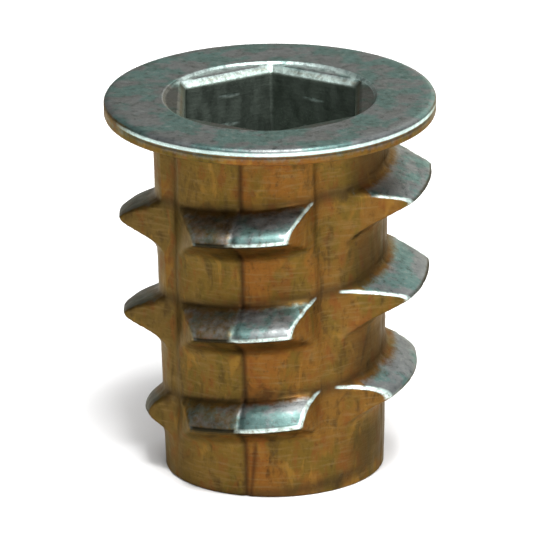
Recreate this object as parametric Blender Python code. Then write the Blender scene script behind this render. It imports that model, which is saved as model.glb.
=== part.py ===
"""Flanged hex-drive threaded insert for wood, a single zinc die casting.

Frame: metres, +Z up.  The origin is the centre of the foot, the annular end that the insert
stands on, and the axis runs up +Z to the top of the flange.  Turns round the axis are in degrees:
they start at the front, -Y, and run counter-clockwise seen from above, so +X is at 90.

The casting is a slightly tapered column under a thin round flange.  A coarse right-hand wood
thread winds round the column, and four upright V gaps cut every turn of it into four lobes, so
that the mould can open.  From above the insert has a shallow round recess, a hexagonal key
socket with bevelled edges, and a bore that carries the machine thread down through the foot.
"""

import math

import bmesh
import bpy
import numpy as np
from mathutils import Vector

MM = 0.001

# Column and flange
LENGTH = 18.2 * MM
FLANGE_RADIUS = 7.8 * MM
FLANGE_THICKNESS = 0.83 * MM
RIM_ROUND = 0.15 * MM
NECK_RADIUS = 5.57 * MM
FOOT_RADIUS = 5.16 * MM
FOOT_ROUND = 0.12 * MM

# Key socket and bore
HEX_ACROSS_FLATS = 8.0 * MM
HEX_TURN = -1.1
HEX_DEPTH = 6.0 * MM
HEX_BEVEL = 0.3 * MM
RECESS_RADIUS = 5.04 * MM
RECESS_DEPTH = 0.13 * MM
BORE_RADIUS = 3.3 * MM
BORE_LEAD = 0.4 * MM

# Wood thread: a blunt V section wound right-handed round the column, with a haunch where its
# underside meets the column.  The crest line sways off the true helix towards the two sides, and
# the land shifts with it.  The crest is cut down over the last turn, and its lower flank there is
# lifted, so that the insert starts easily in its hole.
THREAD_PITCH = 4.76 * MM
THREAD_HEIGHT_AT_FRONT = 8.8 * MM
THREAD_FIRST_TURN = -513.5
THREAD_LAST_TURN = 476.5
CREST_RADIUS = 7.17 * MM
CREST_LAND = 0.45 * MM
CREST_SHIFT = 0.15 * MM
CREST_SWAY = 0.15 * MM
CREST_TURNS = (-450.0, -270.0, -90.0, 90.0, 270.0)
CREST_RADII = (6.18 * MM, 6.6 * MM, CREST_RADIUS, CREST_RADIUS, 7.32 * MM)
CREST_LEAN = -0.6
UPPER_SLOPE = 0.4
LOWER_SLOPE = 0.56
HAUNCH_OUT = 0.3 * MM
HAUNCH_DROP = 0.4 * MM
THIN_BELOW_TURN = -243.5
THIN_LIFT = 0.35 * MM
ROOT_RADIUS = 4.7 * MM

# Upright V gaps: two flat sides, each given by the turn of its normal and its distance out
LOBE_COUNT = 4
LEAD_SIDE_TURN = 12.0
LEAD_SIDE_DISTANCE = 4.95 * MM
TRAIL_SIDE_TURN = 60.5
TRAIL_SIDE_DISTANCE = 4.24 * MM
GAP_REACH = 12.0 * MM

# Mesh fineness
ROUND_STEPS = 96
THREAD_STEP = 5.0
ROUND_CORNER_STEPS = 3
SMOOTH_ANGLE = math.radians(25.0)
MERGE_DISTANCE = 0.0001 * MM
OVERSHOOT = 1.0 * MM


def clear_scene():
    for thing in list(bpy.data.objects):
        bpy.data.objects.remove(thing, do_unlink=True)


def around(radius, turn, height=0.0):
    """The point at a radius, a turn from the front and a height."""
    angle = math.radians(turn)
    return Vector((radius * math.sin(angle), -radius * math.cos(angle), height))


def corner_arc(centre_radius, centre_height, round_radius, start, end):
    """A rounded corner of a turned profile, from one angle to another, in degrees."""
    points = []
    for step in range(ROUND_CORNER_STEPS + 1):
        angle = math.radians(start + (end - start) * step / ROUND_CORNER_STEPS)
        radius = centre_radius + round_radius * math.cos(angle)
        height = centre_height + round_radius * math.sin(angle)
        points.append((radius, height))
    return points


def add_object(name, bm):
    """Turns a bmesh into an object whose faces point outwards."""
    bmesh.ops.remove_doubles(bm, verts=bm.verts, dist=MERGE_DISTANCE)
    bmesh.ops.recalc_face_normals(bm, faces=bm.faces)
    mesh = bpy.data.meshes.new(name)
    bm.to_mesh(mesh)
    bm.free()
    thing = bpy.data.objects.new(name, mesh)
    bpy.context.collection.objects.link(thing)
    return thing


def turned(name, profile):
    """A solid of revolution; the profile's ends lie on the axis."""
    bm = bmesh.new()
    verts = [bm.verts.new((radius, 0.0, height)) for radius, height in profile]
    edges = [bm.edges.new(pair) for pair in zip(verts, verts[1:])]
    bmesh.ops.spin(bm, geom=verts + edges, axis=(0, 0, 1), cent=(0, 0, 0),
                   angle=math.tau, steps=ROUND_STEPS, use_merge=True)
    return add_object(name, bm)


def lofted(name, sections):
    """A solid through a row of closed sections that have the same number of points."""
    bm = bmesh.new()
    rings = [[bm.verts.new(point) for point in section] for section in sections]
    for ring, following in zip(rings, rings[1:]):
        for index in range(len(ring)):
            after = (index + 1) % len(ring)
            bm.faces.new((ring[index], ring[after], following[after], following[index]))
    bm.faces.new(rings[0])
    bm.faces.new(rings[-1])
    return add_object(name, bm)


def make_column():
    foot_corner = corner_arc(FOOT_RADIUS - FOOT_ROUND, FOOT_ROUND, FOOT_ROUND, -90.0, 0.0)
    inside_flange = LENGTH - 0.5 * FLANGE_THICKNESS
    profile = [(0.0, 0.0)] + foot_corner
    profile += [(NECK_RADIUS, inside_flange), (0.0, inside_flange)]
    return turned("threaded_insert", profile)


def make_flange():
    underside = LENGTH - FLANGE_THICKNESS
    centre_radius = FLANGE_RADIUS - RIM_ROUND
    profile = [(0.0, underside)]
    profile += corner_arc(centre_radius, underside + RIM_ROUND, RIM_ROUND, -90.0, 0.0)
    profile += corner_arc(centre_radius, LENGTH - RIM_ROUND, RIM_ROUND, 0.0, 90.0)
    profile += [(0.0, LENGTH)]
    return turned("flange_disc", profile)


def crest_corner(crest, apex, slope, lift):
    """Radius, and height above the crest line, where one flank meets the leaning crest."""
    radius = (crest + CREST_LEAN * (lift + apex * slope)) / (1.0 + CREST_LEAN * slope)
    return radius, lift + (apex - radius) * slope


def thread_section(turn):
    """The section of the wood thread where it passes a turn, its root inside the column."""
    to_side = math.sin(math.radians(turn))
    shift = CREST_SHIFT * to_side
    crest = float(np.interp(turn, CREST_TURNS, CREST_RADII)) + shift
    apex = max(crest, CREST_RADIUS + shift) + CREST_LAND / (UPPER_SLOPE + LOWER_SLOPE)
    lift = THIN_LIFT if turn < THIN_BELOW_TURN else 0.0
    crest_line = THREAD_HEIGHT_AT_FRONT + THREAD_PITCH * turn / 360.0 - CREST_SWAY * to_side
    column = FOOT_RADIUS + (NECK_RADIUS - FOOT_RADIUS) * crest_line / LENGTH
    haunch_height = lift - (apex - column) * LOWER_SLOPE
    haunch_slope = HAUNCH_DROP / HAUNCH_OUT
    haunch_radius = column + HAUNCH_OUT
    corners = [
        (ROOT_RADIUS, haunch_height - (haunch_radius - ROOT_RADIUS) * haunch_slope),
        (haunch_radius, haunch_height),
        crest_corner(crest, apex, -LOWER_SLOPE, lift),
        crest_corner(crest, apex, UPPER_SLOPE, 0.0),
        (ROOT_RADIUS, (apex - ROOT_RADIUS) * UPPER_SLOPE),
    ]
    return [around(radius, turn, crest_line + above) for radius, above in corners]


def make_wood_thread():
    steps = round((THREAD_LAST_TURN - THREAD_FIRST_TURN) / THREAD_STEP)
    sections = []
    for step in range(steps + 1):
        turn = THREAD_FIRST_TURN + (THREAD_LAST_TURN - THREAD_FIRST_TURN) * step / steps
        sections.append(thread_section(turn))
    return lofted("wood_thread", sections)


def gap_root():
    """Radius and turn of the line where the two sides of a V gap meet."""
    spread = math.radians(TRAIL_SIDE_TURN - LEAD_SIDE_TURN)
    ratio = TRAIL_SIDE_DISTANCE / LEAD_SIDE_DISTANCE
    offset = math.atan((ratio - math.cos(spread)) / math.sin(spread))
    return LEAD_SIDE_DISTANCE / math.cos(offset), LEAD_SIDE_TURN + math.degrees(offset)


def make_gap(index):
    """One V gap, as an upright wedge that opens outwards."""
    quarter = 360.0 * index / LOBE_COUNT
    root_radius, root_turn = gap_root()
    root = around(root_radius, root_turn + quarter)
    lead_end = root + around(GAP_REACH, LEAD_SIDE_TURN + 90.0 + quarter)
    trail_end = root + around(GAP_REACH, TRAIL_SIDE_TURN - 90.0 + quarter)
    sections = []
    for height in (-OVERSHOOT, LENGTH + OVERSHOOT):
        lift = Vector((0.0, 0.0, height))
        sections.append([root + lift, lead_end + lift, trail_end + lift])
    return lofted(f"thread_gap_{index + 1}", sections)


def hexagon(across_flats, height):
    corner_radius = across_flats / math.sqrt(3.0)
    return [around(corner_radius, HEX_TURN + 60.0 * side, height) for side in range(6)]


def make_key_socket():
    """The hexagon with its bevelled mouth, open upwards."""
    recess_floor = LENGTH - RECESS_DEPTH
    wide = HEX_ACROSS_FLATS + 2.0 * HEX_BEVEL
    sections = [
        hexagon(HEX_ACROSS_FLATS, LENGTH - HEX_DEPTH),
        hexagon(HEX_ACROSS_FLATS, recess_floor - HEX_BEVEL),
        hexagon(wide, recess_floor),
        hexagon(wide, LENGTH + OVERSHOOT),
    ]
    return lofted("key_socket", sections)


def make_recess():
    floor = LENGTH - RECESS_DEPTH
    profile = [(0.0, floor), (RECESS_RADIUS - RECESS_DEPTH, floor), (RECESS_RADIUS, LENGTH)]
    profile += [(RECESS_RADIUS, LENGTH + OVERSHOOT), (0.0, LENGTH + OVERSHOOT)]
    return turned("mouth_recess", profile)


def make_bore():
    """The tapping hole, with a small lead at the foot, up into the key socket."""
    inside_socket = LENGTH - HEX_DEPTH + OVERSHOOT
    profile = [
        (0.0, -OVERSHOOT),
        (BORE_RADIUS + BORE_LEAD + OVERSHOOT, -OVERSHOOT),
        (BORE_RADIUS, BORE_LEAD),
        (BORE_RADIUS, inside_socket),
        (0.0, inside_socket),
    ]
    return turned("bore", profile)


def combine(casting, tool, operation):
    """Adds or cuts with a hidden tool, which is left as a wire guide."""
    tool.hide_render = True
    tool.display_type = "WIRE"
    modifier = casting.modifiers.new(tool.name, "BOOLEAN")
    modifier.operation = operation
    modifier.solver = "EXACT"
    modifier.object = tool


def zinc_material():
    material = bpy.data.materials.new("chromated_zinc")
    material.use_nodes = True
    shader = material.node_tree.nodes["Principled BSDF"]
    shader.inputs["Base Color"].default_value = (0.28, 0.17, 0.06, 1.0)
    shader.inputs["Metallic"].default_value = 0.7
    shader.inputs["Roughness"].default_value = 0.42
    return material


def main():
    clear_scene()
    casting = make_column()
    combine(casting, make_wood_thread(), "UNION")
    for index in range(LOBE_COUNT):
        combine(casting, make_gap(index), "DIFFERENCE")
    combine(casting, make_flange(), "UNION")
    combine(casting, make_recess(), "DIFFERENCE")
    combine(casting, make_key_socket(), "DIFFERENCE")
    combine(casting, make_bore(), "DIFFERENCE")
    casting.data.materials.append(zinc_material())
    casting.data.shade_smooth()
    casting.data.set_sharp_from_angle(angle=SMOOTH_ANGLE)


main()
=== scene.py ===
"""Looks of the flanged threaded insert: the detailed casting, its finish, floor, light and camera.

The CAD frame holds the same casting as one plain solid.  Here it is replaced by one closed mesh
with sharp thread crests, small casting fillets, the machine thread in the bore, the mould's
parting seams and a slightly uneven skin.  Shapes are worked out in millimetres and turned into
metres when the mesh is made.  Turns round the axis are in degrees, from the front, -Y, and
counter-clockwise seen from above, so +X is at 90.
"""

import math

import bmesh
import bpy
import numpy as np
from mathutils import Matrix, Vector, noise


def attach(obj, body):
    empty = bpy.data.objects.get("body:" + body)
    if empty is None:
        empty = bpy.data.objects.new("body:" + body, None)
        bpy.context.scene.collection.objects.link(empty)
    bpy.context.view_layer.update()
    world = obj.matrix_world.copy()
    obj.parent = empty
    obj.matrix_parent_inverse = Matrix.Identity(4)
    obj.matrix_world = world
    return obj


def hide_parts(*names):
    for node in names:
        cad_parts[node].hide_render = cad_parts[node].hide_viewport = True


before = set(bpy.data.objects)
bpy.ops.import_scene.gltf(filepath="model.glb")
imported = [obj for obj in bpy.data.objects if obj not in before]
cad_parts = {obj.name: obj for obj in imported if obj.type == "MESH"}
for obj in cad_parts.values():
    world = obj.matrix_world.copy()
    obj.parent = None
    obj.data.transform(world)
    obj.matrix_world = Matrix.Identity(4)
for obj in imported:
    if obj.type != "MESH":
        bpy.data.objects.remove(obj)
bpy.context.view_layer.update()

MM = 0.001
LENGTH = 18.2
FLANGE_RADIUS = 7.8

# Column and flange
FLANGE_THICKNESS = 0.83
RIM_ROUND = 0.15
RIM_TOP_ROUND = 0.32
NECK_RADIUS = 5.57
NECK_FILLET = 0.2
FOOT_RADIUS = 5.16
FOOT_ROUND = 0.12

# Wood thread: a blunt V section, whose crest line sways off the helix towards the two sides.  Its
# upper flank is cut a little lower on the right, and its crest is rounder on the left.
THREAD_PITCH = 4.76
THREAD_HEIGHT_AT_FRONT = 8.8
THREAD_FIRST_TURN = -513.5
THREAD_LAST_TURN = 476.5
CREST_RADIUS = 7.17
CREST_LAND = 0.45
CREST_SHIFT = 0.15
CREST_SWAY = 0.15
CREST_TURNS = (-450.0, -270.0, -90.0, 90.0, 270.0)
CREST_RADII = (6.18, 6.6, CREST_RADIUS, CREST_RADIUS, 7.32)
CREST_LEAN = -0.6
UPPER_SLOPE = 0.4
LOWER_SLOPE = 0.56
RIGHT_SIDE_CUT = 0.22
RIGHT_SIDE = (0.0, 0.8)
LEFT_SIDE = (0.6, 0.9)
THIN_BELOW_TURN = -243.5
THIN_LIFT = 0.35
CREST_ZONE = (-0.1, 0.1)
UNDERSIDE_ZONE = (0.1, -0.3)
UPPER_CREST_SOFTNESS = 0.3
LOWER_CREST_SOFTNESS = 0.12
TRIMMED_SOFTNESS = 0.35
LEFT_SOFTNESS = 0.45
UPPER_ROOT_SOFTNESS = 0.3
LOWER_ROOT_SOFTNESS = 1.0
GAP_SOFTNESS = 0.08
GAP_ROOT_SOFTNESS = 0.4

# Upright V gaps
LOBE_COUNT = 4
LEAD_SIDE_TURN = 12.0
LEAD_SIDE_DISTANCE = 4.95
TRAIL_SIDE_TURN = 60.5
TRAIL_SIDE_DISTANCE = 4.24

# Key socket
HEX_ACROSS_FLATS = 8.0
HEX_TURN = -1.1
HEX_DEPTH = 6.0
HEX_BEVEL = 0.3
RECESS_RADIUS = 5.04
RECESS_DEPTH = 0.13
RECESS_FLOOR = LENGTH - RECESS_DEPTH
BEVEL_FOOT = RECESS_FLOOR - HEX_BEVEL

# Machine thread in the bore
BORE_RADIUS = 3.3
BORE_LEAD = 0.4
TAP_PITCH = 25.4 / 18.0
TAP_HALF_ANGLE = 30.0
TAP_RADIUS = 4.03
TAP_ROOT_FLAT = 0.12
TAP_HEIGHT_AT_FRONT = 16.21

# Parting seams of the mould: one in each quarter, deepest in front, and a short one beside it
SEAM_TURN = -15.3
SEAM_WIDTH = 0.13
SEAM_DEPTH = 0.07
SEAM_LEAST_SHARE = 0.25
SECOND_SEAM_START = 0.22
SECOND_SEAM_SPREAD = 0.11
SECOND_SEAM_NARROWER = 0.8
SECOND_SEAM_SHALLOWER = 0.4
SECOND_SEAM_TOP = (3.0, 2.5)

# Cast skin: how far the outside waves in and out
SKIN_SWELL = 0.03
SWELL_STRETCH = (0.55, 0.55, 0.4)
SKIN_RIPPLE = 0.015
RIPPLE_STRETCH = (1.9, 1.9, 1.3)
NOISE_SHIFT = (17.3, 5.1, 9.7)

# Finish, in linear colour.  Tints of the chromate go round with the turn and hold painted shade and
# light as well: darker on the left, lighter just right of the front seam.  BARE_TURNS and the
# shares under it tell how much grey shows on the upper flanks there, partly bare zinc and partly a
# painted reflection of the light, most on the right.
TINT_TURNS = (-180.0, -103.5, -85.0, -62.0, -40.0, -15.8, -14.8, 12.0, 30.0, 55.0, 90.0, 180.0)
TINTS = (
    (0.144, 0.069, 0.015),
    (0.138, 0.072, 0.015),
    (0.122, 0.075, 0.019),
    (0.108, 0.066, 0.017),
    (0.126, 0.074, 0.016),
    (0.130, 0.076, 0.015),
    (0.174, 0.069, 0.014),
    (0.161, 0.069, 0.013),
    (0.144, 0.071, 0.015),
    (0.141, 0.067, 0.015),
    (0.131, 0.067, 0.015),
    (0.144, 0.069, 0.015),
)
BARE_TURNS = (-180.0, -120.0, -80.0, -30.0, -17.0, -14.0, 30.0, 80.0, 130.0, 180.0)
BARE_AND_LIT = (0.7, 0.7, 0.62, 0.45, 0.5, 0.95, 1.0, 1.0, 0.85, 0.7)
OLIVE = (0.088, 0.064, 0.012, 1.0)
RUST = (0.155, 0.052, 0.014, 1.0)
DARK_BROWN = (0.040, 0.024, 0.009, 1.0)
BRIGHT_GOLD = (0.230, 0.120, 0.022, 1.0)
PALE_GOLD = (0.170, 0.108, 0.040, 1.0)
SEAM_BROWN = (0.028, 0.015, 0.007, 1.0)
ROOT_SHADE_BROWN = (0.034, 0.021, 0.010, 1.0)
OUTLINE = (0.012, 0.013, 0.009, 1.0)
GREY_TEAL = (0.101, 0.172, 0.161, 1.0)
GREY_WARM = (0.155, 0.167, 0.168, 1.0)
PALE_ZINC = (0.230, 0.250, 0.235, 1.0)
DARK_TEAL = (0.040, 0.060, 0.058, 1.0)
SOCKET_GREY = (0.162, 0.196, 0.166, 1.0)
# Colour of the painted highlights, also of the tap's bright nicks
BRIGHT_ZINC_AND_HIGHLIGHT = (0.660, 0.820, 0.770, 1.0)

# Where the marks of the finish run.  A pair goes from nothing to the full mark: in millimetres, in
# degrees for names with TURN, and in cosines for FRONT and BACK.
SOCKET_REACH = 4.95
SOCKET_MARGINS = (0.02, 0.04)
BRIGHTEST_TURN = 10.0
LEFT_LOBE_TURNS = ((-62.0, -74.0), (-150.0, -130.0))
GAP_CLEARANCE = (0.03, 0.1)
FLANK_OUT = (0.12, 0.5)
FLANK_RAGGED = (0.12, 0.08)
FLANK_OVER_CREST = (-0.2, -0.08)
LEFT_OVERRUN = 0.45
FLAT_UPWARD = (0.25, 0.7)
# The rim's front takes a painted highlight, painted reflection and a painted shade line
RIM_REACH = 7.0
RIM_FRONT = (0.15, 0.6)
RIM_BAND = 0.05
RIM_ZINC_DEPTH = 0.3
RIM_OUTLINE = (0.3, 0.1)
RIM_GREY_DEPTH = 0.46
RIM_GREY_WIDTH = 0.12
RIM_GREY_SHARE = 0.4
# Painted highlight on the lobes' edges, and the painted shadow of the flange on the highest lobe
LIT_TURNS = (-13.0, -10.0)
DIM_TURNS = (-45.0, -30.0)
DIM_SHARE = 0.15
LIT_END_TURNS = (120.0, 90.0)
HIGH_LOBE = (12.5, 13.0)
HIGH_LOBE_TURNS = (30.0, 36.0)
HIGH_LOBE_INNER = (6.5, 6.1)
EDGE_OUT = (-0.02, 0.1)
EDGE_OVER_CREST = (-0.3, -0.1)
CREST_OUT = (0.6, 0.9)
CREST_FRONT_TURNS = (-18.0, -14.0)
# Painted highlight at the back of the socket's mouth, painted shade on its other sides
BEVEL_REACH = 5.07
BEVEL_BACK = (0.49, 0.56)
BEVEL_UPWARD = (0.9, 0.65)
RING_INSIDE = (0.42, 0.3)
RING_BACK = (0.3, 0.6)
WALL_BACK = (-0.3, 0.5)
WALL_TURNS = (0.0, 60.0)
CHIP_DEPTHS = (0.6, 3.0)
CHIP_CUT = (-0.015, 0.01)
BEVEL_SHARE, RING_SHARE, WALL_SHARE, CHIP_SHARE = 0.8, 0.6, 0.4, 0.8
DARK_BEVEL_SHARE, DARK_RIM_SHARE = 0.6, 0.8
SEAM_STAIN_WIDER = 1.2
SEAM_STAIN_LEAST = 0.35
SECOND_SEAM_STAIN = 0.75
SEAM_OUT = (1.2, 0.4)
# Painted shade over the roots, beside the lobes and down the left
ROOT_ABOVE_CREST = 0.9
ROOT_WIDTH = 0.35
ROOT_OUT = (0.35, 0.05)
LEFT_CORNER_TURN = -56.0
LEFT_CORNER_WIDTH = 8.0
LEFT_FACE_TURNS = (-75.0, -28.0)
LEFT_FACE_ROOM = (0.08, 0.02)
BESIDE_LOBE_TURNS = ((33.0, 55.0), (100.0, 80.0))
BESIDE_LOBE_OUT = (0.3, 0.1)
BESIDE_LOBE_ABOVE = ((0.75, 0.95), (3.2, 2.9))
LEFT_LOBE_OUT = (0.3, 0.6)
# Painted shade on the left lobes' grey flanks starts at SHADED_LEFT_OUT
SHADED_LEFT_OUT = (0.2, 0.5)
ROOT_SHARE, BESIDE_LOBE_SHARE, LEFT_CORNER_SHARE = 0.8, 0.75, 0.28
LEFT_FACE_SHARE, LEFT_LOBE_SHARE = 0.12, 0.25

# Lines that the material draws, in millimetres: each starts, is full, starts to fade, and ends.
# The first two are measured up from the crest line, the next two down from the flange's top, and
# the last outwards past the flat end of a lobe.  The rim line, the lobe edge line and the bright
# crest line in front are painted highlights; the lines under the crest and the rim are painted
# shade.
CREST_LINE = (-0.31, -0.25, -0.12, -0.04)
UNDER_CREST_LINE = (-0.42, -0.36, -0.30, -0.24)
RIM_LINE = (0.15, 0.21, 0.31, 0.37)
UNDER_RIM_LINE = (0.37, 0.42, 0.46, 0.52)
LOBE_EDGE_LINE = (-0.3, -0.08, 0.06, 0.2)
RIM_ZINC_END = (0.33, 0.38)

# Noises of the material: stretch in 1/mm, detail, roughness and distortion
NOISES = {
    "blotch": ((0.55, 0.55, 0.3), 4.0, 0.55, 0.6),
    "stain": ((1.1, 1.1, 0.45), 3.0, 0.6, 0.8),
    "cloud": ((1.6, 1.6, 0.8), 5.0, 0.6, 0.0),
    "drift": ((0.6, 0.6, 0.6), 4.0, 0.6, 0.0),
    "streak": ((0.8, 0.8, 7.0), 3.0, 0.55, 0.0),
    "speck": ((4.2, 4.2, 4.2), 4.0, 0.7, 0.0),
    "fleck": ((3.2, 3.2, 3.2), 5.0, 0.7, 0.0),
}
# Colours laid one over another: a noise, where it starts and where it is full, its share, colour
CHROMATE_LAYERS = (
    ("blotch", 0.45, 0.62, 0.7, OLIVE),
    ("cloud", 0.5, 0.66, 0.6, RUST),
    ("cloud", 0.48, 0.3, 0.65, DARK_BROWN),
    ("stain", 0.44, 0.3, 0.6, DARK_BROWN),
    ("stain", 0.56, 0.7, 0.55, BRIGHT_GOLD),
    ("streak", 0.48, 0.7, 0.45, PALE_GOLD),
    ("speck", 0.45, 0.3, 0.4, DARK_BROWN),
    ("speck", 0.55, 0.72, 0.3, PALE_GOLD),
)
GREY_LAYERS = (
    ("drift", 0.44, 0.56, 1.0, GREY_WARM),
    ("fleck", 0.52, 0.7, 0.6, PALE_ZINC),
    ("fleck", 0.48, 0.3, 0.75, DARK_TEAL),
)
STAIN_AND_SHADE_SHARE = 0.85
SHADED_LEFT_SHARE = 0.8
RAGGED_SPAN = (0.3, 0.7, -0.15, 0.15)
BARE_SPAN = (0.05, 0.95)
CREST_DARKEST, UNDER_CREST_DARK, UNDER_RIM_DARK = 0.9, 0.7, 0.55
FLECK_CHIPS = (0.4, 0.55, 0.5, 1.0)
SPECK_CHIPS = (0.35, 0.5, 0.6, 1.0)
RIM_LINE_SHARE = 0.75
ROUGHNESS_SPAN = (0.3, 0.7, 0.4, 0.55)
SPECULAR_TINT = (0.68, 0.64, 0.56, 1.0)
BUMP_STRENGTH = 0.4
BUMP_DEPTH = 0.04
STREAK_RELIEF = 0.7

# Mesh fineness: columns outside, and half as many inside.  The two meet between these pairs of
# radii, on the flange's top and on the foot.
OUTER_COLUMNS = 576
INNER_COLUMNS = OUTER_COLUMNS // 2
TOP_SPLIT = (6.7, 6.3)
FOOT_SPLIT = (4.9, 4.3)
ARC_STEPS = (0.0, 30.0, 60.0, 90.0)
FLOOR_ROUND = 0.05
WALL_LIP = 0.15
MERGE_DISTANCE = 1e-5
LONGEST_ROUND_SHARE = 0.45
FAR = 1000.0
LEAST_FACING = 0.02


# ---------------------------------------------------------------- shapes

def smooth_step(low, high, value):
    """0 at low and 1 at high, with a smooth run between them."""
    share = np.clip((value - low) / (high - low), 0.0, 1.0)
    return share * share * (3.0 - 2.0 * share)


def smooth_min(a, b, width):
    """The lesser of two values, rounded over where they are nearly equal."""
    share = np.clip(0.5 + 0.5 * (b - a) / width, 0.0, 1.0)
    return b * (1.0 - share) + a * share - width * share * (1.0 - share)


def smooth_max(a, b, width):
    return -smooth_min(-a, -b, width)


def flat_side(turn, normal_turn, distance):
    """Radius of an upright flat face at a turn, far away where the face isn't met."""
    facing = np.cos(np.radians(turn - normal_turn))
    return np.where(facing > LEAST_FACING, distance / np.maximum(facing, LEAST_FACING), FAR)


def lobe_limit(turn):
    """How far out the four V gaps let the casting reach."""
    limit = np.full_like(turn, FAR)
    for index in range(LOBE_COUNT):
        quarter = 360.0 * index / LOBE_COUNT
        lead = flat_side(turn, LEAD_SIDE_TURN + quarter, LEAD_SIDE_DISTANCE)
        trail = flat_side(turn, TRAIL_SIDE_TURN + quarter, TRAIL_SIDE_DISTANCE)
        limit = np.minimum(limit, smooth_max(lead, trail, GAP_ROOT_SOFTNESS))
    return limit


def column_radius(height):
    return FOOT_RADIUS + (NECK_RADIUS - FOOT_RADIUS) * height / LENGTH


def ridge_radius(turn, height):
    """The wood thread's V section at each turn (0 to 360) and height.

    Returns its radius and how softly it should run into the column."""
    to_right = np.sin(np.radians(turn))
    shift = CREST_SHIFT * to_right
    sway = CREST_SWAY * to_right
    cut = RIGHT_SIDE_CUT * smooth_step(*RIGHT_SIDE, to_right)
    left = smooth_step(*LEFT_SIDE, -to_right)
    radius = np.zeros_like(height)
    softness = np.full_like(height, UPPER_ROOT_SOFTNESS)
    first_wind = math.floor(THREAD_FIRST_TURN / 360.0)
    last_wind = math.ceil(THREAD_LAST_TURN / 360.0)
    for wind in range(first_wind, last_wind + 1):
        total = turn + 360.0 * wind
        crest = np.interp(total, CREST_TURNS, CREST_RADII)
        full = np.maximum(crest, CREST_RADIUS)
        apex = full + CREST_LAND / (UPPER_SLOPE + LOWER_SLOPE) + shift
        thin = total < THIN_BELOW_TURN
        above = height - THREAD_HEIGHT_AT_FRONT - THREAD_PITCH * total / 360.0 + sway
        upper = apex - (above + cut) / UPPER_SLOPE
        lower = apex + (above - np.where(thin, THIN_LIFT, 0.0)) / LOWER_SLOPE
        present = (total >= THREAD_FIRST_TURN) & (total <= THREAD_LAST_TURN)
        on_upper = smooth_step(*CREST_ZONE, above)
        rounding = LOWER_CREST_SOFTNESS + (UPPER_CREST_SOFTNESS - LOWER_CREST_SOFTNESS) * on_upper
        rounding = rounding + TRIMMED_SOFTNESS * (full - crest) + LEFT_SOFTNESS * left
        ridge = smooth_min(np.minimum(upper, lower), crest + shift + CREST_LEAN * above, rounding)
        nearest = present & (ridge > radius)
        underside = smooth_step(*UNDERSIDE_ZONE, above)
        root = UPPER_ROOT_SOFTNESS + (LOWER_ROOT_SOFTNESS - UPPER_ROOT_SOFTNESS) * underside
        softness = np.where(nearest, root, softness)
        radius = np.where(nearest, ridge, radius)
    return radius, softness


def seam_offset(turn):
    """Distance along the surface from the nearest parting seam."""
    step = 360.0 / LOBE_COUNT
    away = (turn - SEAM_TURN + 0.5 * step) % step - 0.5 * step
    return np.radians(away) * NECK_RADIUS


def second_seam(turn, height):
    """A short line beside the front seam, near the foot, where a sliver of flash was pressed in."""
    across = np.radians(turn - SEAM_TURN) * FOOT_RADIUS
    beside = SECOND_SEAM_START + SECOND_SEAM_SPREAD * height
    line = np.exp(-((across - beside) / (SECOND_SEAM_NARROWER * SEAM_WIDTH)) ** 2)
    return line * smooth_step(*SECOND_SEAM_TOP, height)


def outer_radius(turn, height):
    """The outside of the casting between the foot and the flange."""
    thread, softness = ridge_radius(turn, height)
    radius = smooth_max(column_radius(height), thread, softness)
    radius = smooth_min(radius, lobe_limit(turn), GAP_SOFTNESS)
    front = np.maximum(np.cos(np.radians(turn - SEAM_TURN)), SEAM_LEAST_SHARE)
    groove = SEAM_DEPTH * front * np.exp(-(seam_offset(turn) / SEAM_WIDTH) ** 2)
    return radius - groove - SECOND_SEAM_SHALLOWER * SEAM_DEPTH * second_seam(turn, height)


def hex_radius(turn, across_flats):
    from_flat = (turn - HEX_TURN) % 60.0 - 30.0
    return 0.5 * across_flats / np.cos(np.radians(from_flat))


def tap_radius(turn, height):
    """The machine thread's groove: its radius where it cuts, and less elsewhere."""
    phase = (height - TAP_HEIGHT_AT_FRONT) / TAP_PITCH - turn / 360.0
    away = np.abs((phase + 0.5) % 1.0 - 0.5) * TAP_PITCH
    slope = 1.0 / math.tan(math.radians(TAP_HALF_ANGLE))
    return np.minimum(TAP_RADIUS, TAP_RADIUS - (away - 0.5 * TAP_ROOT_FLAT) * slope)


# ---------------------------------------------------------------- mesh

def turns(columns):
    return HEX_TURN + np.arange(columns) * 360.0 / columns


def ring(turn, radius, height):
    """Points round the axis, one for each turn."""
    angle = np.radians(turn)
    radius = np.broadcast_to(radius, turn.shape)
    height = np.broadcast_to(height, turn.shape)
    return np.stack([radius * np.sin(angle), -radius * np.cos(angle), height], axis=-1)


def winding_heights(turn, at_front, pitch, offsets, low, high, sway=0.0):
    """Heights of rows that follow a right-hand helix, held between two limits.

    Returns an array of rows by columns, and how many rows later a row comes back to itself."""
    first = math.floor((low - at_front - max(offsets)) / pitch) - 1
    last = math.ceil((high - at_front - min(offsets)) / pitch)
    rows = []
    for wind in range(first, last + 1):
        for offset in offsets:
            tilt = -sway * np.sin(np.radians(turn))
            rows.append(at_front + offset + tilt + pitch * (wind + turn / 360.0))
    return np.clip(np.array(rows), low, high), len(offsets)


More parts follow.
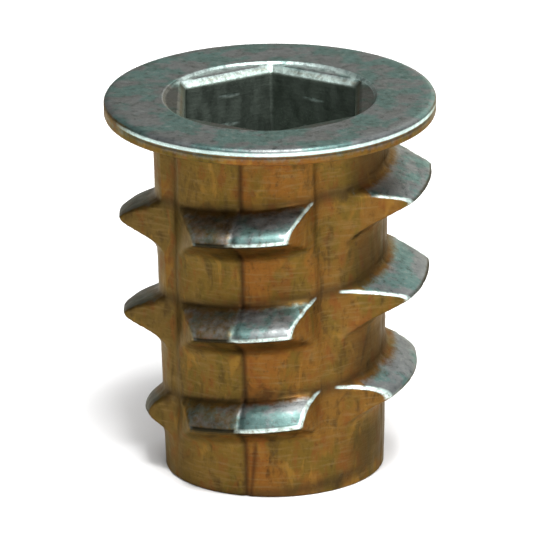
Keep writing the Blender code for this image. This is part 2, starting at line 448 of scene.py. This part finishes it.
class Shell:
    """Collects rows of points and the faces between them."""

    def __init__(self):
        self.points = []
        self.faces = []
        self.count = 0

    def add_points(self, row):
        start = self.count
        self.points.append(row)
        self.count += len(row)
        return start

    def add_grid(self, rows, lag=0):
        """Faces between rows; with a lag, a row meets a later row after one turn."""
        starts = [self.add_points(row) for row in rows]
        columns = len(rows[0])
        last = len(rows) - 1
        for index in range(last):
            for column in range(columns):
                if column < columns - 1:
                    right = (starts[index] + column + 1, starts[index + 1] + column + 1)
                else:
                    met = [min(max(row + lag, 0), last) for row in (index, index + 1)]
                    right = (starts[met[0]], starts[met[1]])
                left = (starts[index] + column, starts[index + 1] + column)
                self.faces.append((left[0], right[0], right[1], left[1]))

    def add_halving(self, fine, coarse):
        """Joins a row to one with half as many points."""
        a = self.add_points(fine)
        b = self.add_points(coarse)
        for column in range(len(coarse)):
            following = (column + 1) % len(coarse)
            near = (a + 2 * column, a + 2 * column + 1, a + (2 * column + 2) % len(fine))
            self.faces.append((near[0], near[1], b + column))
            self.faces.append((near[1], b + following, b + column))
            self.faces.append((near[1], near[2], b + following))

    def to_mesh(self, name):
        bm = bmesh.new()
        for x, y, z in np.concatenate(self.points).tolist():
            bm.verts.new((x, y, z))
        bm.verts.ensure_lookup_table()
        for face in self.faces:
            corners = list(dict.fromkeys(face))
            if len(corners) > 2:
                bm.faces.new([bm.verts[index] for index in corners])
        bmesh.ops.remove_doubles(bm, verts=bm.verts, dist=MERGE_DISTANCE)
        bmesh.ops.recalc_face_normals(bm, faces=bm.faces)
        mesh = bpy.data.meshes.new(name)
        bm.to_mesh(mesh)
        bm.free()
        return mesh


def rounded_rows(turn, corners):
    """Rows along a path of corners (radius, height, round); a round of 0 keeps a corner as is."""
    path = [ring(turn, radius, height) for radius, height, _ in corners]
    rows = [path[0]]
    for index in range(1, len(path) - 1):
        here = path[index]
        size = corners[index][2]
        if size == 0.0:
            rows.append(here)
            continue
        ends = []
        for other in (path[index - 1], path[index + 1]):
            away = other - here
            length = np.maximum(np.linalg.norm(away, axis=-1, keepdims=True), 1e-9)
            ends.append(here + away * np.minimum(size / length, LONGEST_ROUND_SHARE))
        rows.append(ends[0])
        rows.append(0.25 * ends[0] + 0.5 * here + 0.25 * ends[1])
        rows.append(ends[1])
    rows.append(path[-1])
    return rows


def thread_row_offsets():
    """Where the rows lie within one pitch of the wood thread, from its crest."""
    lower = [-1.7, -1.45, -1.25, -1.08, -0.92, -0.76, -0.6, -0.45, -0.33, -0.26, -0.2, -0.13, 0.0]
    upper = [0.12, 0.22, 0.32, 0.48, 0.7, 0.9, 1.03, 1.14, 1.3, 1.55]
    open_column = [2.0, 2.5]
    return lower + upper + open_column


def add_outside(shell):
    """Foot corner, column, wood thread, flange underside, rim and the outer part of the top."""
    turn = turns(OUTER_COLUMNS)
    low = FOOT_ROUND
    high = LENGTH - FLANGE_THICKNESS - NECK_FILLET
    offsets = thread_row_offsets()
    heights, lag = winding_heights(turn, THREAD_HEIGHT_AT_FRONT, THREAD_PITCH, offsets, low, high,
                                   CREST_SWAY)
    foot = outer_radius(turn, np.full_like(turn, low))
    neck = outer_radius(turn, np.full_like(turn, high))
    arc = [(math.cos(a), math.sin(a)) for a in np.radians(ARC_STEPS)]
    corner = [(foot - FOOT_ROUND + FOOT_ROUND * across, low - FOOT_ROUND * down)
              for across, down in reversed(arc)]
    edge = [(FOOT_SPLIT[0], 0.0)] + corner
    shell.add_grid([ring(turn, radius, height) for radius, height in edge])
    body = [ring(turn, outer_radius(turn, height), height) for height in heights]
    shell.add_grid(body, lag)
    fillet = [(neck + NECK_FILLET * (1.0 - across), high + NECK_FILLET * up) for across, up in arc]
    shell.add_grid([ring(turn, radius, height) for radius, height in fillet])
    underside = LENGTH - FLANGE_THICKNESS
    flange = [
        (neck + NECK_FILLET, underside, 0.0),
        (6.2, underside, 0.0),
        (7.0, underside, 0.0),
        (FLANGE_RADIUS, underside, RIM_ROUND),
        (FLANGE_RADIUS, underside + 0.36 * FLANGE_THICKNESS, 0.0),
        (FLANGE_RADIUS, underside + 0.48 * FLANGE_THICKNESS, 0.0),
        (FLANGE_RADIUS, underside + 0.56 * FLANGE_THICKNESS, 0.0),
        (FLANGE_RADIUS, LENGTH, RIM_TOP_ROUND),
        (7.2, LENGTH, 0.0),
        (TOP_SPLIT[0], LENGTH, 0.0),
    ]
    shell.add_grid(rounded_rows(turn, flange))


def add_socket(shell):
    """The inner part of the top, the recess, the hexagon and its floor."""
    turn = turns(INNER_COLUMNS)
    floor = LENGTH - RECESS_DEPTH
    wide = hex_radius(turn, HEX_ACROSS_FLATS + 2.0 * HEX_BEVEL)
    narrow = hex_radius(turn, HEX_ACROSS_FLATS)
    recess_floor_radius = RECESS_RADIUS - RECESS_DEPTH
    lip = np.minimum(wide, recess_floor_radius)
    lip_height = floor - HEX_BEVEL * (wide - lip) / (wide - narrow)
    wall_top = floor - HEX_BEVEL
    hex_floor = LENGTH - HEX_DEPTH
    mouth = [
        (TOP_SPLIT[1], LENGTH, 0.0),
        (5.6, LENGTH, 0.0),
        (RECESS_RADIUS + 0.08, LENGTH, 0.0),
        (RECESS_RADIUS, LENGTH, 0.05),
        (recess_floor_radius, lip_height, 0.04),
        (lip, lip_height, 0.05),
        (narrow, wall_top, 0.06),
        (narrow, wall_top - WALL_LIP, 0.0),
    ]
    shell.add_grid(rounded_rows(turn, mouth))
    offsets = [-0.14, -0.08, 0.0, 0.08, 0.14, 0.45, 0.9]
    heights, lag = winding_heights(turn, TAP_HEIGHT_AT_FRONT, TAP_PITCH, offsets,
                                   hex_floor, wall_top - WALL_LIP)
    wall = [ring(turn, np.maximum(narrow, tap_radius(turn, height)), height) for height in heights]
    shell.add_grid(wall[::-1], -lag)


def add_bore(shell):
    """The hexagon's floor, the threaded bore, its lead at the foot and the foot's flat ring."""
    turn = turns(INNER_COLUMNS)
    hex_floor = LENGTH - HEX_DEPTH
    narrow = hex_radius(turn, HEX_ACROSS_FLATS)

    def bore(height):
        return np.maximum(BORE_RADIUS, tap_radius(turn, height))

    floor_level = np.full_like(turn, hex_floor)
    lip = bore(floor_level - FLOOR_ROUND)
    shell.add_grid(rounded_rows(turn, [
        (np.maximum(narrow, tap_radius(turn, floor_level)), hex_floor, 0.0),
        (0.5 * (narrow + lip), hex_floor, 0.0),
        (lip, hex_floor - FLOOR_ROUND, 0.0),
    ]))
    offsets = [-0.48, -0.27, -0.06, 0.06, 0.27, 0.48, 0.705]
    heights, lag = winding_heights(turn, TAP_HEIGHT_AT_FRONT, TAP_PITCH, offsets,
                                   BORE_LEAD, hex_floor - FLOOR_ROUND)
    wall = [ring(turn, bore(height), height) for height in heights]
    shell.add_grid(wall[::-1], -lag)
    foot_level = np.full_like(turn, BORE_LEAD)
    shell.add_grid(rounded_rows(turn, [
        (bore(foot_level), BORE_LEAD, 0.0),
        (BORE_RADIUS + BORE_LEAD, 0.0, 0.05),
        (FOOT_SPLIT[1], 0.0, 0.0),
    ]))


def make_casting():
    shell = Shell()
    add_outside(shell)
    fine = turns(OUTER_COLUMNS)
    coarse = turns(INNER_COLUMNS)
    shell.add_halving(ring(fine, TOP_SPLIT[0], LENGTH), ring(coarse, TOP_SPLIT[1], LENGTH))
    add_socket(shell)
    add_bore(shell)
    shell.add_halving(ring(fine, FOOT_SPLIT[0], 0.0), ring(coarse, FOOT_SPLIT[1], 0.0))
    mesh = shell.to_mesh("insert_casting")
    mesh.transform(Matrix.Scale(MM, 4))
    roughen(mesh)
    mark_finish(mesh)
    mesh.shade_smooth()
    casting = bpy.data.objects.new("insert_casting", mesh)
    bpy.context.collection.objects.link(casting)
    return casting


# ---------------------------------------------------------------- finish

def vertex_arrays(mesh):
    """Positions in millimetres and normals of a mesh's points."""
    count = len(mesh.vertices)
    places = np.empty(count * 3)
    normals = np.empty(count * 3)
    mesh.vertices.foreach_get("co", places)
    mesh.vertex_normals.foreach_get("vector", normals)
    return places.reshape(-1, 3) / MM, normals.reshape(-1, 3)


def noise_field(places, stretch, seed):
    """Smooth noise from -1 to 1 at each place, finer along the axes with more stretch."""
    shift = Vector(NOISE_SHIFT) * seed
    x, y, z = stretch
    return np.array([noise.noise(Vector((a * x, b * y, c * z)) + shift) for a, b, c in places])


def roughen(mesh):
    """Gives the outside a slightly uneven cast skin, and leaves the flat faces flat."""
    places, normals = vertex_arrays(mesh)
    radius = np.hypot(places[:, 0], places[:, 1])
    below_flange = places[:, 2] < LENGTH - FLANGE_THICKNESS - NECK_FILLET
    outside = (radius > FOOT_RADIUS - 0.2) & below_flange & (places[:, 2] > FOOT_ROUND)
    swell = noise_field(places, SWELL_STRETCH, 1) * SKIN_SWELL
    ripple = noise_field(places, RIPPLE_STRETCH, 2) * SKIN_RIPPLE
    push = np.where(outside, swell + ripple, 0.0)
    moved = (places + normals * push[:, None]) * MM
    mesh.vertices.foreach_set("co", moved.ravel())
    mesh.update()


def add_mask(mesh, name, values):
    layer = mesh.attributes.new(name, "FLOAT", "POINT")
    layer.data.foreach_set("value", values.astype(np.float32))


def add_tone(mesh, name, colours):
    layer = mesh.attributes.new(name, "FLOAT_COLOR", "POINT")
    alpha = np.ones((len(colours), 1))
    layer.data.foreach_set("color", np.hstack([colours, alpha]).astype(np.float32).ravel())


def crest_offset(turn, height):
    """Height above the nearest crest line of the wood thread."""
    sway = CREST_SWAY * np.sin(np.radians(turn))
    line = THREAD_HEIGHT_AT_FRONT + THREAD_PITCH * turn / 360.0 - sway
    return (height - line + 0.5 * THREAD_PITCH) % THREAD_PITCH - 0.5 * THREAD_PITCH


class Surface:
    """The casting's points, with what the finish needs to know about each."""

    def __init__(self, mesh):
        places, normals = vertex_arrays(mesh)
        x, y, height = places.T
        turn = np.degrees(np.arctan2(x, -y))
        radius = np.hypot(x, y)
        self.turn, self.radius, self.height = turn, radius, height
        self.upward = normals[:, 2]
        between = (height > SOCKET_MARGINS[0]) & (height < RECESS_FLOOR - SOCKET_MARGINS[1])
        self.socket = (radius < SOCKET_REACH) & between
        self.top = (height > LENGTH - FLANGE_THICKNESS) & ~self.socket
        self.side = ~self.socket & ~self.top
        self.on_rim = self.top & (radius > FLANGE_RADIUS - RIM_BAND)
        self.patch = noise_field(places, (0.9, 0.9, 0.9), 3)
        self.fine = noise_field(places, (2.6, 2.6, 2.6), 4)
        self.above = crest_offset(turn, height)
        self.out = radius - column_radius(height)
        self.room = lobe_limit(turn) - radius
        self.clear = smooth_step(*GAP_CLEARANCE, self.room)
        self.facing = np.maximum(np.cos(np.radians(turn - BRIGHTEST_TURN)), 0.0)
        self.rim_front = smooth_step(*RIM_FRONT, self.facing)
        self.to_back = np.cos(np.radians(turn - 180.0))
        start, end = LEFT_LOBE_TURNS
        self.on_left = smooth_step(*start, turn) * smooth_step(*end, turn)
        self.above_bevel_foot = smooth_step(BEVEL_FOOT - 0.02, BEVEL_FOOT + 0.03, height)


def grey_zinc_and_reflection(at):
    """Grey on the lobes' upper flanks and the flange's top, with ragged edges: partly bare zinc and
    partly a painted reflection of the light above, set by how far a face looks up and stronger on
    the lobes at the right.
    """
    coarse, fine = FLANK_RAGGED
    flank = smooth_step(*FLANK_OUT, at.out + coarse * at.patch + fine * at.fine)
    overrun = LEFT_OVERRUN * at.on_left * (1.0 + 0.5 * at.patch)
    low, high = FLANK_OVER_CREST
    flank = flank * smooth_step(low - overrun, high - overrun, at.above)
    flank = flank * at.clear * np.interp(at.turn, BARE_TURNS, BARE_AND_LIT)
    flat_top = smooth_step(*FLAT_UPWARD, at.upward)
    zinc = np.where(at.side, flank, np.where(at.top, flat_top, 0.0))
    zinc = zinc * (at.height > LENGTH - RIM_ZINC_DEPTH) + zinc * at.side
    away = (at.height - LENGTH + RIM_GREY_DEPTH) / RIM_GREY_WIDTH
    rim_grey = at.on_rim * np.exp(-away ** 2) * RIM_GREY_SHARE
    return np.minimum(np.maximum(zinc, rim_grey), 1.0)


def lit_edge(at):
    """Where the edge between a lobe's upper flank and its flat end gets a painted highlight, with a
    painted shadow of the flange taking it off the inner part of the highest lobe.
    """
    before_end = smooth_step(*LIT_END_TURNS, at.turn)
    dim = DIM_SHARE * smooth_step(*DIM_TURNS, at.turn)
    lit = np.maximum(smooth_step(*LIT_TURNS, at.turn) * before_end, dim * before_end)
    # Painted shadow of the flange: no highlight on the inner part of the highest lobe
    high_lobe = smooth_step(*HIGH_LOBE, at.height) * smooth_step(*HIGH_LOBE_TURNS, at.turn)
    lit = lit * (1.0 - high_lobe * smooth_step(*HIGH_LOBE_INNER, at.radius))
    on_upper = smooth_step(*EDGE_OVER_CREST, at.above)
    return at.side * lit * smooth_step(*EDGE_OUT, at.out) * on_upper


def past_lobe(at):
    """How far the whole thread would stand out past the flat sides of the gaps."""
    thread, _ = ridge_radius(at.turn % 360.0, at.height)
    return np.where(at.side, np.clip(thread - lobe_limit(at.turn), -1.0, 1.0), -1.0)


def mouth_highlight(at):
    """Painted highlight at the back of the socket's mouth, on the bevel, recess floor and recess
    wall that face the light in front.
    """
    bevel = at.above_bevel_foot * smooth_step(LENGTH + 0.02, LENGTH - 0.03, at.height)
    bevel = bevel * smooth_step(*BEVEL_UPWARD, at.upward)
    bevel = bevel * smooth_step(*BEVEL_BACK, at.to_back) * (at.radius < BEVEL_REACH)
    start, full = RING_INSIDE
    ring = smooth_step(RECESS_RADIUS - start, RECESS_RADIUS - full, at.radius)
    ring = ring * (at.radius < RECESS_RADIUS - 0.05) * (np.abs(at.height - RECESS_FLOOR) < 0.03)
    ring = ring * smooth_step(*RING_BACK, at.to_back)
    wall = (at.radius > RECESS_RADIUS - RECESS_DEPTH - 0.02) & (at.radius < RECESS_RADIUS + 0.03)
    wall = wall & (at.height > RECESS_FLOOR - 0.17)
    wall = wall * smooth_step(*WALL_BACK, at.to_back) * smooth_step(*WALL_TURNS, at.turn)
    return np.maximum.reduce([BEVEL_SHARE * bevel, RING_SHARE * ring, WALL_SHARE * wall])


def tapped_chips(at):
    """Bright nicks where the tap has caught the socket's walls."""
    cut = tap_radius(at.turn % 360.0, at.height) - hex_radius(at.turn, HEX_ACROSS_FLATS)
    shallow, deep = CHIP_DEPTHS
    within = (at.height < LENGTH - shallow) * (at.height > LENGTH - deep) * at.socket
    return CHIP_SHARE * smooth_step(*CHIP_CUT, cut) * within


def dark_outline(at, mouth):
    """Painted shade: dark lines on the bevel's other sides, and round the flange's rim away from
    the front.
    """
    bevel = (at.radius < BEVEL_REACH) * at.above_bevel_foot * (at.height < LENGTH - 0.03)
    bevel = bevel * smooth_step(*reversed(BEVEL_BACK), at.to_back) * (1.0 - mouth)
    start, full = RIM_OUTLINE
    rim = at.on_rim * (1.0 - at.rim_front)
    rim = rim * smooth_step(LENGTH - start, LENGTH - full, at.height)
    return np.maximum(DARK_BEVEL_SHARE * bevel, DARK_RIM_SHARE * rim)


def seam_stain(at):
    """Dirt along the parting seams, most in front."""
    away = seam_offset(at.turn) / (SEAM_STAIN_WIDER * SEAM_WIDTH)
    share = SEAM_STAIN_LEAST + (1.0 - SEAM_STAIN_LEAST) * at.facing ** 2
    stain = np.maximum(np.exp(-away ** 2) * share,
                       SECOND_SEAM_STAIN * second_seam(at.turn, at.height))
    return stain * at.side * smooth_step(*SEAM_OUT, at.out * (1.0 - at.facing ** 8))


def painted_root_shade(at):
    """Painted shade in brown over the lobes' roots, beside the lobes below the fin above, and down
    the left.
    """
    near_root = np.exp(-((at.above - ROOT_ABOVE_CREST) / ROOT_WIDTH) ** 2)
    root = near_root * smooth_step(*ROOT_OUT, at.out)
    corner = np.exp(-((at.turn - LEFT_CORNER_TURN) / LEFT_CORNER_WIDTH) ** 2)
    start, end = LEFT_FACE_TURNS
    face = smooth_step(*LEFT_FACE_ROOM, at.room) * (at.turn > start) * (at.turn < end)
    beside = smooth_step(*BESIDE_LOBE_OUT, at.out)
    for pair in BESIDE_LOBE_TURNS:
        beside = beside * smooth_step(*pair, at.turn)
    for pair in BESIDE_LOBE_ABOVE:
        beside = beside * smooth_step(*pair, at.above % THREAD_PITCH)
    lobe = at.on_left * smooth_step(*LEFT_LOBE_OUT, at.out)
    return at.side * np.maximum.reduce([
        ROOT_SHARE * root, BESIDE_LOBE_SHARE * beside, LEFT_CORNER_SHARE * corner,
        LEFT_FACE_SHARE * face, LEFT_LOBE_SHARE * lobe])


def mark_finish(mesh):
    """Stores where the grey shows, partly bare zinc and partly painted reflection, where the
    painted highlights and painted shade go, the seams' stains, and how the chromate is tinted.
    """
    at = Surface(mesh)
    # Painted highlight at the back of the socket's mouth
    mouth = mouth_highlight(at)
    masks = {
        # Grey on upward faces and the right-hand flanks: partly bare zinc, partly painted
        # reflection
        "zinc": grey_zinc_and_reflection(at),
        "socket": at.socket.astype(float),
        "past_lobe": past_lobe(at),
        "lit_edge": lit_edge(at),
        "above": np.where(at.side, at.above, 2.0),
        "crest_line": at.side * at.clear * smooth_step(*CREST_OUT, at.out),
        # Where the crest line becomes a painted highlight
        "front": at.facing ** 4 * smooth_step(*CREST_FRONT_TURNS, at.turn),
        # The rim's front, where the painted highlight, painted reflection and shade line go
        "rim": at.top * (at.radius > RIM_REACH) * at.rim_front,
        # Painted highlight at the socket's mouth, and the tap's bright nicks
        "bright": np.maximum(mouth, tapped_chips(at)),
        # Painted shade on the bevel's sides away from the light and round the rim away from the
        # front
        "outline": dark_outline(at, mouth),
        "seam": seam_stain(at),
        # Painted shade over the roots, beside the lobes and down the left
        "root": painted_root_shade(at),
        # Painted shade: the left lobes' grey flanks darkened
        "shaded_left": at.on_left * at.side * smooth_step(*SHADED_LEFT_OUT, at.out),
    }
    for name, values in masks.items():
        add_mask(mesh, name, values)
    # The tint is partly painted shade: darker on the left, lighter just right of the front seam
    tints = [np.interp(at.turn, TINT_TURNS, channel) for channel in zip(*TINTS)]
    add_tone(mesh, "tint", np.stack(tints, axis=-1))


def set_range(node, low, high, start, end):
    names = ("From Min", "From Max", "To Min", "To Max")
    for name, number in zip(names, (low, high, start, end)):
        node.inputs[name].default_value = number


class Nodes:
    """Short calls for building a material's node tree."""

    def __init__(self, material):
        material.use_nodes = True
        self.tree = material.node_tree
        self.shader = self.tree.nodes["Principled BSDF"]

    def link(self, source, target):
        self.tree.links.new(source, target)

    def put(self, value, socket):
        if isinstance(value, bpy.types.NodeSocket):
            self.link(value, socket)
        else:
            socket.default_value = value

    def mask(self, name):
        node = self.tree.nodes.new("ShaderNodeAttribute")
        node.attribute_name = name
        return node.outputs["Fac"]

    def tone(self, name):
        node = self.tree.nodes.new("ShaderNodeAttribute")
        node.attribute_name = name
        return node.outputs["Color"]

    def places(self, scale):
        """Object coordinates in units of one over the scale, in millimetres."""
        coordinates = self.tree.nodes.new("ShaderNodeTexCoord")
        mapping = self.tree.nodes.new("ShaderNodeMapping")
        mapping.inputs["Scale"].default_value = [part / MM for part in scale]
        self.link(coordinates.outputs["Object"], mapping.inputs["Vector"])
        return mapping.outputs["Vector"]

    def height(self):
        coordinates = self.tree.nodes.new("ShaderNodeTexCoord")
        split = self.tree.nodes.new("ShaderNodeSeparateXYZ")
        self.link(coordinates.outputs["Object"], split.inputs["Vector"])
        return split.outputs["Z"]

    def bump_of(self, value, start, full, fade, end):
        """1 between full and fade, and 0 outside start and end."""
        return self.times(self.span(value, start, full), self.span(value, fade, end, 1.0, 0.0))

    def noise(self, scale, detail, roughness, distortion):
        node = self.tree.nodes.new("ShaderNodeTexNoise")
        node.inputs["Scale"].default_value = 1.0
        node.inputs["Detail"].default_value = detail
        node.inputs["Roughness"].default_value = roughness
        node.inputs["Distortion"].default_value = distortion
        self.link(self.places(scale), node.inputs["Vector"])
        return node.outputs["Fac"]

    def math(self, operation, first, second):
        node = self.tree.nodes.new("ShaderNodeMath")
        node.operation = operation
        self.put(first, node.inputs[0])
        self.put(second, node.inputs[1])
        return node.outputs[0]

    def times(self, first, second):
        return self.math("MULTIPLY", first, second)

    def most(self, first, *others):
        """The greatest of several values."""
        for other in others:
            first = self.math("MAXIMUM", first, other)
        return first

    def span(self, value, low, high, start=0.0, end=1.0):
        """Maps low..high to start..end, smoothly and clamped."""
        node = self.tree.nodes.new("ShaderNodeMapRange")
        node.interpolation_type = "SMOOTHSTEP"
        self.put(value, node.inputs["Value"])
        set_range(node, low, high, start, end)
        return node.outputs["Result"]

    def mix(self, share, first, second):
        node = self.tree.nodes.new("ShaderNodeMix")
        node.data_type = "RGBA"
        self.put(share, node.inputs["Factor"])
        self.put(first, node.inputs[6])
        self.put(second, node.inputs[7])
        return node.outputs[2]


def laid_over(nodes, noises, base, layers):
    """A base colour with layers over it, each showing where its noise is strong."""
    for name, start, full, share, colour in layers:
        base = nodes.mix(nodes.span(noises[name], start, full, 0.0, share), base, colour)
    return base


def plain_colour(nodes, noises, zinc):
    """Chromate with its stains and painted shade, and grey where zinc shows through, partly a
    painted reflection.
    """
    chromate = laid_over(nodes, noises, nodes.tone("tint"), CHROMATE_LAYERS)
    # The root mark is painted shade; the seam mark is a stain along the parting seams
    for name, colour in (("root", ROOT_SHADE_BROWN), ("seam", SEAM_BROWN)):
        chromate = nodes.mix(nodes.times(nodes.mask(name), STAIN_AND_SHADE_SHARE), chromate, colour)
    socket = nodes.mask("socket")
    grey = laid_over(nodes, noises, GREY_TEAL, GREY_LAYERS)
    # Painted shade on the left lobes' grey flanks
    grey = nodes.mix(nodes.times(nodes.mask("shaded_left"), SHADED_LEFT_SHARE), grey, DARK_TEAL)
    grey = nodes.mix(socket, grey, SOCKET_GREY)
    ragged = nodes.span(noises["fleck"], *RAGGED_SPAN)
    # Grey share: the socket's zinc, and the upward grey that is partly a painted reflection
    bare = nodes.math("ADD", nodes.most(zinc, socket), ragged)
    return nodes.mix(nodes.span(bare, *BARE_SPAN), chromate, grey)


def line_colour(nodes, noises, colour, from_top):
    """Adds the dark and the bright lines of crests, lobe ends and rim: the bright ones are painted
    highlights, the dark lines under the crests and under the rim painted shade.
    """
    above, front, rim = nodes.mask("above"), nodes.mask("front"), nodes.mask("rim")
    crest_line = nodes.mask("crest_line")
    crest = nodes.times(nodes.bump_of(above, *CREST_LINE), crest_line)
    under_crest = nodes.times(nodes.bump_of(above, *UNDER_CREST_LINE), crest_line)
    under_rim = nodes.times(nodes.bump_of(from_top, *UNDER_RIM_LINE), rim)
    # The dark lines under the crests and under the rim are painted shade
    dark = nodes.most(
        nodes.times(crest, nodes.math("SUBTRACT", CREST_DARKEST, front)),
        nodes.times(under_crest, UNDER_CREST_DARK),
        nodes.times(under_rim, UNDER_RIM_DARK),
        nodes.mask("outline"),
        0.0)
    colour = nodes.mix(dark, colour, OUTLINE)

    past_end = nodes.bump_of(nodes.mask("past_lobe"), *LOBE_EDGE_LINE)
    lobe_edge = nodes.times(past_end, nodes.mask("lit_edge"))
    rim_line = nodes.times(nodes.bump_of(from_top, *RIM_LINE), rim)
    # Painted highlights on the socket's mouth, the crests in front, lobe ends and rim, with the
    # tap's nicks
    bright = nodes.most(nodes.mask("bright"), nodes.times(crest, front), lobe_edge, rim_line)
    chips = nodes.times(nodes.span(noises["fleck"], *FLECK_CHIPS),
                        nodes.span(noises["speck"], *SPECK_CHIPS))
    shine = nodes.most(nodes.times(bright, chips), nodes.times(rim_line, RIM_LINE_SHARE))
    return nodes.mix(shine, colour, BRIGHT_ZINC_AND_HIGHLIGHT)


def chromated_zinc():
    """Worn yellow chromate on the sides, grey on the upper flanks that is partly bare zinc and
    partly painted reflection, and painted highlights on the edges.
    """
    material = bpy.data.materials.new("chromated_zinc_worn_and_lit")
    nodes = Nodes(material)
    noises = {name: nodes.noise(*settings) for name, settings in NOISES.items()}
    from_top = nodes.math("SUBTRACT", LENGTH * MM, nodes.height())
    from_top = nodes.math("DIVIDE", from_top, MM)
    # Painted reflection: grey on the rim's top rounding at the front
    rim_front_reflection = nodes.times(nodes.span(from_top, *RIM_ZINC_END, 1.0, 0.0), nodes.mask("rim"))
    zinc = nodes.most(nodes.mask("zinc"), rim_front_reflection)
    colour = line_colour(nodes, noises, plain_colour(nodes, noises, zinc), from_top)
    nodes.link(colour, nodes.shader.inputs["Base Color"])
    roughness = nodes.span(noises["cloud"], *ROUGHNESS_SPAN)
    nodes.link(roughness, nodes.shader.inputs["Roughness"])
    nodes.shader.inputs["Metallic"].default_value = 1.0
    nodes.shader.inputs["Specular Tint"].default_value = SPECULAR_TINT

    bump = nodes.tree.nodes.new("ShaderNodeBump")
    bump.inputs["Strength"].default_value = BUMP_STRENGTH
    bump.inputs["Distance"].default_value = BUMP_DEPTH * MM
    relief = nodes.math("ADD", noises["speck"], nodes.times(noises["streak"], STREAK_RELIEF))
    nodes.link(relief, bump.inputs["Height"])
    nodes.link(bump.outputs["Normal"], nodes.shader.inputs["Normal"])
    return material


# ---------------------------------------------------------------- studio

CAMERA_DISTANCE = 0.6
CAMERA_ELEVATION = 19.7
CAMERA_ROLL = 0.8
CAMERA_LENS_PER_METRE = 1415.6
AIM_HEIGHT = 9.51
AIM_SIDE = -0.104
SENSOR_WIDTH = 36.0
CLIP_START, CLIP_END = 0.01, 10.0
FLOOR_SIZE = 4.0
FLOOR_WHITE = (0.9, 0.9, 0.9, 1.0)
WORLD_WHITE = (1.0, 1.0, 1.0, 1.0)
# The surroundings grow brighter from the left to the right: where from and to, and how bright
WORLD_SPAN = (-1.0, 0.6, 0.3, 0.64)
# Turn, elevation, distance in metres, size in metres and power in watts
LIGHTS = {
    "key": (15.0, 68.0, 0.5, 0.16, 3.6),
    "back_right": (150.0, 22.0, 0.5, 0.4, 1.0),
    "front_fill": (20.0, 32.0, 0.7, 0.5, 3.2),
}


def make_camera():
    data = bpy.data.cameras.new("camera")
    data.sensor_width = SENSOR_WIDTH
    data.lens = CAMERA_LENS_PER_METRE * CAMERA_DISTANCE
    data.clip_start = CLIP_START
    data.clip_end = CLIP_END
    camera = bpy.data.objects.new("camera", data)
    bpy.context.collection.objects.link(camera)
    rise = math.radians(CAMERA_ELEVATION)
    aim = Vector((AIM_SIDE * MM, 0.0, AIM_HEIGHT * MM))
    back = Vector((0.0, -math.cos(rise), math.sin(rise)))
    camera.location = aim + back * CAMERA_DISTANCE
    turn = (-back).to_track_quat("-Z", "Y").to_matrix().to_4x4()
    roll = math.radians(-CAMERA_ROLL)
    camera.rotation_euler = (turn @ Matrix.Rotation(roll, 4, "Z")).to_euler()
    bpy.context.scene.camera = camera


def make_floor():
    bpy.ops.mesh.primitive_plane_add(size=FLOOR_SIZE, location=(0.0, 0.0, 0.0))
    floor = bpy.context.object
    floor.name = "floor"
    material = bpy.data.materials.new("floor")
    material.use_nodes = True
    shader = material.node_tree.nodes["Principled BSDF"]
    shader.inputs["Base Color"].default_value = FLOOR_WHITE
    floor.data.materials.append(material)


def soft_light(name, turn, elevation, distance, size, power):
    """A square area light that faces the insert."""
    data = bpy.data.lights.new(name, "AREA")
    data.shape = "SQUARE"
    data.size = size
    data.energy = power
    light = bpy.data.objects.new(name, data)
    bpy.context.collection.objects.link(light)
    rise = math.radians(elevation)
    across = math.radians(turn)
    flat = math.cos(rise)
    away = Vector((flat * math.sin(across), -flat * math.cos(across), math.sin(rise)))
    light.location = Vector((0.0, 0.0, 0.5 * LENGTH * MM)) + away * distance
    light.rotation_euler = away.to_track_quat("Z", "Y").to_euler()


def make_lights():
    world = bpy.data.worlds.new("studio")
    bpy.context.scene.world = world
    world.use_nodes = True
    background = world.node_tree.nodes["Background"]
    background.inputs["Color"].default_value = WORLD_WHITE
    tree = world.node_tree
    direction = tree.nodes.new("ShaderNodeTexCoord")
    split = tree.nodes.new("ShaderNodeSeparateXYZ")
    brightness = tree.nodes.new("ShaderNodeMapRange")
    tree.links.new(direction.outputs["Generated"], split.inputs["Vector"])
    tree.links.new(split.outputs["X"], brightness.inputs["Value"])
    set_range(brightness, *WORLD_SPAN)
    tree.links.new(brightness.outputs["Result"], background.inputs["Strength"])
    for name, settings in LIGHTS.items():
        soft_light(name, *settings)


casting = make_casting()
casting.data.materials.append(chromated_zinc())
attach(casting, "root")
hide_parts("threaded_insert")
make_floor()
make_lights()
make_camera()
bpy.context.scene.view_settings.view_transform = "Standard"
